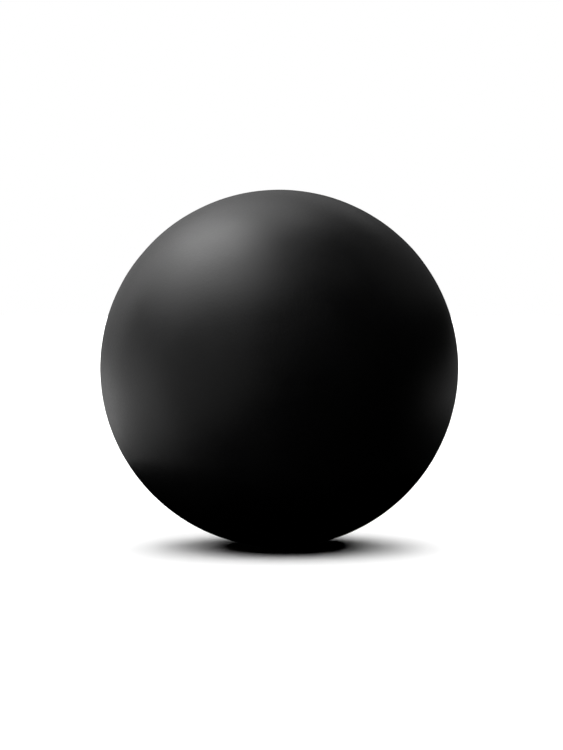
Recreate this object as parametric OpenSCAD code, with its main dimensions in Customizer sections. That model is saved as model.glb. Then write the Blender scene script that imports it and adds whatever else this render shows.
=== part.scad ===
// Lacrosse ball: one solid sphere of moulded rubber, all in millimetres.
// +Z is up and the origin is the centre of the ball. The two halves of the mould met in the
// XZ plane, so the bead left by their parting line runs round the ball there.

/* [Ball] */
// Diameter of the rubber sphere
ball_d = 63.5; // [62.7:0.1:64.7]

/* [Parting line] */
// Width of the trimmed bead, from edge to edge on the sphere
bead_w = 1.0; // [0.4:0.1:1.6]
// Height of the bead's crest above the sphere
bead_h = 0.1; // [0.04:0.02:0.2]

/* [Hidden] */
$fn = 180;

ball_r = ball_d / 2;
crest_r = ball_r + bead_h;

// The bead's edges lie on the sphere, half a bead's width to each side of the parting plane.
bead_edge_r = sqrt(ball_r ^ 2 - (bead_w / 2) ^ 2);
// The bead's section is the arc through both edges and the crest.
bead_rise = crest_r - bead_edge_r;
bead_arc_r = ((bead_w / 2) ^ 2 + bead_rise ^ 2) / (2 * bead_rise);
bead_arc_centre = crest_r - bead_arc_r;

// Half of the sphere's section, to one side of the axis along which the mould opened.
module sphere_section() {
    intersection() {
        circle(r = ball_r);
        translate([0, -ball_r]) square([ball_r, ball_d]);
    }
}

// Section of the bead: the arc's full circle, which lies inside the sphere except at the crest.
module bead_section() {
    translate([bead_arc_centre, 0]) circle(r = bead_arc_r);
}

// The ball, solid right through, turned so that the mould's axis lies along Y.
module ball() {
    color("#1b1b1c")
        rotate([90, 0, 0])
            rotate_extrude() {
                sphere_section();
                bead_section();
            }
}

ball();
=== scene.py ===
import math

import bmesh
import bpy
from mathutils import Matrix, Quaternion, Vector


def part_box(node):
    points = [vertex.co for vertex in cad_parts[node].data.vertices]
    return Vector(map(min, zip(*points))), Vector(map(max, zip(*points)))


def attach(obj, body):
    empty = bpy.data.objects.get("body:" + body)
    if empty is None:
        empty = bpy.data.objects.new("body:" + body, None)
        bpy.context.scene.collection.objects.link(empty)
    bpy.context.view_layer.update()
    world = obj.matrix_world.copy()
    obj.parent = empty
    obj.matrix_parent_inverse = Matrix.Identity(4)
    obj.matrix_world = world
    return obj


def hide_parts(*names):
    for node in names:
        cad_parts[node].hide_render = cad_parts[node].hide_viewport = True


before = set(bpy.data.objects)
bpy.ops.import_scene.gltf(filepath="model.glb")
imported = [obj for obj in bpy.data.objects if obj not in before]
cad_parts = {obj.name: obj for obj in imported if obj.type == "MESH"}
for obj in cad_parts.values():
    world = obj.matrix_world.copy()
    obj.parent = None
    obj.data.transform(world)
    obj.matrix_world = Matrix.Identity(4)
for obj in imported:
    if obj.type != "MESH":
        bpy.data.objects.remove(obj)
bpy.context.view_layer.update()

scene = bpy.context.scene
scene.view_settings.view_transform = "Standard"

# The ball: one solid of black vulcanised rubber, pressed from a single blank in a heated mould
# of two halves that met in the XZ plane. The flash that squeezed out between them was trimmed and
# buffed away, which leaves a fine bead round the ball, low and a little uneven.
ball_low, ball_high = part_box("ball")
ball_radius = ball_high[1]
bead_height = ball_high[0] - ball_high[1]
bead_half = 0.0005
bead_rows = 12
quads_across_a_face = 56

bpy.ops.object.select_all(action="DESELECT")
bpy.ops.mesh.primitive_cube_add(size=2 * ball_radius)
ball = bpy.context.object
ball.name = "moulded_ball"
ball.data.name = "moulded_ball"

bpy.ops.object.mode_set(mode="EDIT")
bpy.ops.mesh.select_all(action="SELECT")
bpy.ops.mesh.subdivide(number_cuts=quads_across_a_face - 1)
bpy.ops.object.mode_set(mode="OBJECT")
# The rows of the cube are spread so that they come out evenly spaced once it is blown up to a ball.
for vertex in ball.data.vertices:
    vertex.co = [ball_radius * math.tan(math.pi / 4 * c / ball_radius) for c in vertex.co]
to_sphere = ball.modifiers.new("to_sphere", "CAST")
to_sphere.cast_type = "SPHERE"
to_sphere.factor = 1.0
to_sphere.use_radius_as_size = False
to_sphere.size = ball_radius
bpy.ops.object.modifier_apply(modifier=to_sphere.name)

# The row of edges in the parting plane is widened to a strip of rows, and each row is swelled out
# to its place on the bead's rounded section.
bpy.ops.object.mode_set(mode="EDIT")
bpy.ops.mesh.select_mode(type="EDGE")
bpy.ops.mesh.select_all(action="DESELECT")
rubber_mesh = bmesh.from_edit_mesh(ball.data)
for edge in rubber_mesh.edges:
    edge.select_set(all(abs(v.co.y) < 1e-6 for v in edge.verts))
bmesh.update_edit_mesh(ball.data)
bpy.ops.mesh.bevel(offset=bead_half, segments=bead_rows, affect="EDGES", profile=0.5)
bpy.ops.mesh.select_mode(type="VERT")
for row in range(1, bead_rows):
    row_y = bead_half * (2 * row / bead_rows - 1)
    bpy.ops.mesh.select_all(action="DESELECT")
    rubber_mesh = bmesh.from_edit_mesh(ball.data)
    rubber_mesh.verts.ensure_lookup_table()
    row_verts = [v for v in rubber_mesh.verts if abs(v.co.y - row_y) < bead_half / bead_rows / 2]
    for vertex in row_verts:
        vertex.select_set(True)
    bmesh.update_edit_mesh(ball.data)
    row_radius = sum(math.hypot(v.co.x, v.co.z) for v in row_verts) / len(row_verts)
    lift = bead_height * (0.5 + 0.5 * math.cos(math.pi * row_y / bead_half))
    swell = (math.sqrt(ball_radius ** 2 - row_y ** 2) + lift) / row_radius
    bpy.ops.transform.resize(value=(swell, 1, swell), center_override=(0, 0, 0))
bpy.ops.object.mode_set(mode="OBJECT")

# The trimming blade sliced the bead's crest flat and rode up and down a little as it went round, so
# the height that is left wanders by a few hundredths of a millimetre. It never stands prouder than
# the mould left it.
uncut_share = 0.3
bead = ball.vertex_groups.new(name="bead")
for vertex in ball.data.vertices:
    if abs(vertex.co.y) < bead_half * 0.95:
        height = math.hypot(vertex.co.x, vertex.co.z) - math.sqrt(ball_radius ** 2 - vertex.co.y ** 2)
        above_the_cut = (height / bead_height - uncut_share) / (1 - uncut_share)
        bead.add([vertex.index], min(1.0, max(0.0, above_the_cut)), "REPLACE")
blade = bpy.data.textures.new("trimming_blade", "CLOUDS")
blade.noise_scale = 0.008
blade.noise_depth = 1
blade.contrast = 1.5
trim = ball.modifiers.new("trim", "DISPLACE")
trim.texture = blade
trim.texture_coords = "LOCAL"
trim.vertex_group = bead.name
trim.direction = "NORMAL"
trim.mid_level = 1.0
trim.strength = bead_height * 0.5
bpy.ops.object.modifier_apply(modifier=trim.name)
bpy.ops.object.shade_smooth()

# Black rubber with the fine satin grain of the mould's blasted wall, faintly cloudy in colour and
# gloss where the compound flowed, and duller and hair-scratched along the buffed parting line.
rubber = bpy.data.materials.new("black_rubber")
rubber.use_nodes = True
shader = rubber.node_tree.nodes["Principled BSDF"]
shader.inputs["IOR"].default_value = 1.5


def rubber_node(kind, **settings):
    made = rubber.node_tree.nodes.new(kind)
    for setting, value in settings.items():
        setattr(made, setting, value)
    return made


def join(source, target):
    rubber.node_tree.links.new(source, target)


def arithmetic(operation, first, second):
    made = rubber_node("ShaderNodeMath", operation=operation)
    for socket, value in zip(made.inputs, (first, second)):
        if isinstance(value, bpy.types.NodeSocket):
            join(value, socket)
        else:
            socket.default_value = value
    return made.outputs[0]


def ramp(value, low, high, to_low, to_high):
    made = rubber_node("ShaderNodeMapRange", interpolation_type="SMOOTHSTEP")
    join(value, made.inputs["Value"])
    for socket, number in zip(("From Min", "From Max", "To Min", "To Max"), (low, high, to_low, to_high)):
        made.inputs[socket].default_value = number
    return made.outputs["Result"]


def cloud(vector, scale, detail):
    made = rubber_node("ShaderNodeTexNoise", noise_dimensions="3D")
    join(vector, made.inputs["Vector"])
    made.inputs["Scale"].default_value = scale
    made.inputs["Detail"].default_value = detail
    made.inputs["Roughness"].default_value = 0.55
    return made.outputs["Fac"]


place = rubber_node("ShaderNodeTexCoord").outputs["Object"]
along = rubber_node("ShaderNodeSeparateXYZ")
join(place, along.inputs[0])

flow_per_metre = 95
grain_per_metre = 2400
flow = cloud(place, flow_per_metre, 4)
grain = cloud(place, grain_per_metre, 3)

# Nearness to the parting plane, and scratches that run round the ball beside it.
fully_buffed_to = 0.0007
buffing_ends = 0.0026
scratches_per_metre = 7000.0
scratches_per_radian = 5.0
from_the_plane = arithmetic("ABSOLUTE", along.outputs["Y"], 0.0)
buffed = ramp(from_the_plane, fully_buffed_to, buffing_ends, 1.0, 0.0)
round_the_ball = arithmetic("ARCTAN2", along.outputs["X"], along.outputs["Z"])
lay = rubber_node("ShaderNodeCombineXYZ")
join(arithmetic("MULTIPLY", round_the_ball, scratches_per_radian), lay.inputs["X"])
join(arithmetic("MULTIPLY", along.outputs["Y"], scratches_per_metre), lay.inputs["Y"])
scratches = arithmetic("MULTIPLY", cloud(lay.outputs[0], 1.0, 3), buffed)

tone = rubber_node("ShaderNodeMix", data_type="RGBA")
tone.inputs["A"].default_value = (0.0085, 0.0085, 0.0090, 1)
tone.inputs["B"].default_value = (0.0125, 0.0125, 0.0130, 1)
join(ramp(flow, 0.3, 0.7, 0.0, 1.0), tone.inputs["Factor"])
dulled = rubber_node("ShaderNodeMix", data_type="RGBA")
join(tone.outputs["Result"], dulled.inputs["A"])
dulled.inputs["B"].default_value = (0.018, 0.018, 0.018, 1)
join(arithmetic("MULTIPLY", buffed, 0.6), dulled.inputs["Factor"])
join(dulled.outputs["Result"], shader.inputs["Base Color"])

gloss = arithmetic("ADD", ramp(flow, 0.3, 0.7, 0.395, 0.435), ramp(grain, 0.3, 0.7, -0.02, 0.02))
matted = arithmetic("ADD", arithmetic("MULTIPLY", buffed, 0.03), arithmetic("MULTIPLY", scratches, 0.16))
join(arithmetic("ADD", gloss, matted), shader.inputs["Roughness"])

grain_depth = 0.000015
scratch_depth = 0.000008
grain_bump = rubber_node("ShaderNodeBump")
grain_bump.inputs["Strength"].default_value = 1.0
grain_bump.inputs["Distance"].default_value = grain_depth
join(grain, grain_bump.inputs["Height"])
scratch_bump = rubber_node("ShaderNodeBump")
scratch_bump.inputs["Strength"].default_value = 1.0
scratch_bump.inputs["Distance"].default_value = scratch_depth
join(scratches, scratch_bump.inputs["Height"])
join(grain_bump.outputs["Normal"], scratch_bump.inputs["Normal"])
join(scratch_bump.outputs["Normal"], shader.inputs["Normal"])

ball.data.materials.append(rubber)
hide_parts("ball")
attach(ball, "root")

# The floor: a sheet of white paper. Its own lamps light it past white, so that all but the ball's
# compact shadow comes out clean. It isn't mirrored in the ball, whose underside stays black.
sheet_size = 1.0
bpy.ops.object.select_all(action="DESELECT")
bpy.ops.mesh.primitive_plane_add(size=sheet_size, location=(0, 0, ball_low[2]))
floor = bpy.context.object
floor.name = "floor"
floor.visible_diffuse = False
floor.visible_glossy = False
floor.visible_shadow = False
paper = bpy.data.materials.new("white_paper")
paper.use_nodes = True
paper.node_tree.nodes.clear()
matt = paper.node_tree.nodes.new("ShaderNodeBsdfDiffuse")
matt.inputs["Color"].default_value = (0.85, 0.85, 0.85, 1)
sheet_out = paper.node_tree.nodes.new("ShaderNodeOutputMaterial")
paper.node_tree.links.new(matt.outputs[0], sheet_out.inputs["Surface"])
floor.data.materials.append(paper)

# Beyond the paper the camera sees plain white, which lights nothing.
backdrop = bpy.data.worlds.new("white_backdrop")
scene.world = backdrop
backdrop.use_nodes = True
seen = backdrop.node_tree.nodes.new("ShaderNodeLightPath")
white = backdrop.node_tree.nodes["Background"]
white.inputs["Color"].default_value = (1, 1, 1, 1)
backdrop.node_tree.links.new(seen.outputs["Is Camera Ray"], white.inputs["Strength"])

# The collar: a shallow black tray round the ball's foot, which only the ball's lamps meet. It keeps
# their low light off the underside, so that the glow on the ball's sides ends at a clean edge.
collar_radius = 0.03216
collar_top = -0.01924
collar_drop = 0.0001
bpy.ops.object.select_all(action="DESELECT")
bpy.ops.mesh.primitive_circle_add(vertices=128, radius=collar_radius, fill_type="NGON",
                                  location=(0, 0, ball_low[2] - collar_drop))
collar = bpy.context.object
collar.name = "collar"
bpy.ops.object.mode_set(mode="EDIT")
bpy.ops.mesh.select_all(action="SELECT")
bpy.ops.mesh.extrude_edges_move(TRANSFORM_OT_translate={"value": (0, 0, collar_top - collar.location.z)})
bpy.ops.object.mode_set(mode="OBJECT")
collar.visible_camera = False
collar.visible_diffuse = False
black_card = bpy.data.materials.new("black_card")
black_card.use_nodes = True
black_card.node_tree.nodes.clear()
dead_black = black_card.node_tree.nodes.new("ShaderNodeBsdfDiffuse")
dead_black.inputs["Color"].default_value = (0, 0, 0, 1)
card_out = black_card.node_tree.nodes.new("ShaderNodeOutputMaterial")
black_card.node_tree.links.new(dead_black.outputs[0], card_out.inputs["Surface"])
collar.data.materials.append(black_card)

# The studio: softboxes a metre from the ball, each turned to face it. They light the ball alone: a
# key high on the left with a hot core, its broad fill, a broad one from the left, two low ones
# behind on the left, a top light behind, and two weak edge lights on the right.
on_ball = bpy.data.collections.new("on_ball")
on_ball.objects.link(ball)


def softbox(name, azimuth, elevation, turn, width, height, level):
    bpy.ops.object.light_add(type="AREA")
    lamp = bpy.context.object
    lamp.name = name
    lamp.data.shape = "RECTANGLE"
    lamp.data.size = width
    lamp.data.size_y = height
    lamp.data.energy = level * math.pi * width * height
    a, e = math.radians(azimuth), math.radians(elevation)
    out = Vector((math.sin(a) * math.cos(e), -math.cos(a) * math.cos(e), math.sin(e)))
    lamp.location = out
    lamp.rotation_mode = "QUATERNION"
    lamp.rotation_quaternion = out.to_track_quat("Z", "Y") @ Quaternion((0, 0, 1), math.radians(turn))
    lamp.visible_camera = False
    lamp.light_linking.receiver_collection = on_ball


softbox("key", -119.9, 59.1, -5.9, 1.64, 1.00, 1.18)
softbox("key_core", -122.2, 57.7, 16.9, 0.49, 0.47, 3.12)
softbox("key_fill", -109.3, 56.4, 41.4, 2.20, 0.71, 1.06)
softbox("left_fill", -62.9, 18.7, 19.6, 2.00, 2.20, 0.24)
softbox("low_left", -114.1, -11.0, -15.0, 1.40, 0.71, 0.51)
softbox("low_left_strip", -132.6, -11.8, -4.6, 1.29, 0.21, 0.60)
softbox("top_back", -173.3, 23.8, -39.0, 1.12, 0.46, 0.41)
softbox("right_strip", 135.3, -9.0, 8.2, 1.13, 0.18, 0.19)
softbox("upper_right", 144.9, 22.8, -26.2, 1.69, 0.40, 0.09)

# Four more softboxes hang a metre over the paper, round the ball and facing straight down. They
# light the paper alone and cast the ball's shadow on it.
hanging_height = 1.0
on_paper = bpy.data.collections.new("on_paper")
on_paper.objects.link(floor)


def overhead(name, x, y, width, depth, level):
    bpy.ops.object.light_add(type="AREA", location=(x, y, ball_low[2] + hanging_height))
    lamp = bpy.context.object
    lamp.name = name
    lamp.data.shape = "ELLIPSE"
    lamp.data.size = width
    lamp.data.size_y = depth
    lamp.data.energy = level * math.pi * (math.pi * width * depth / 4)
    lamp.visible_camera = False
    lamp.light_linking.receiver_collection = on_paper
    lamp.light_linking.blocker_collection = on_ball


overhead("over_left", -0.94, -0.09, 1.26, 2.02, 3.62)
overhead("over_right", 0.68, -0.17, 1.02, 1.63, 3.93)
overhead("over_front", -0.12, -0.85, 0.72, 1.15, 4.61)
overhead("over_back", -0.05, 0.80, 1.06, 0.74, 7.99)

# The camera: a long lens a little above the ball, aimed just below and to the right of its middle.
camera_distance = 1.2
camera_elevation = math.radians(5.2)
aim_right = 0.000395
aim_down = 0.001152
bpy.ops.object.camera_add(rotation=(math.pi / 2 - camera_elevation, 0, 0))
camera = bpy.context.object
camera.data.lens = 324.3
back = Vector((0, -math.cos(camera_elevation), math.sin(camera_elevation)))
up = Vector((0, math.sin(camera_elevation), math.cos(camera_elevation)))
camera.location = back * camera_distance + Vector((aim_right, 0, 0)) - up * aim_down
camera.data.clip_end = 50
scene.camera = camera
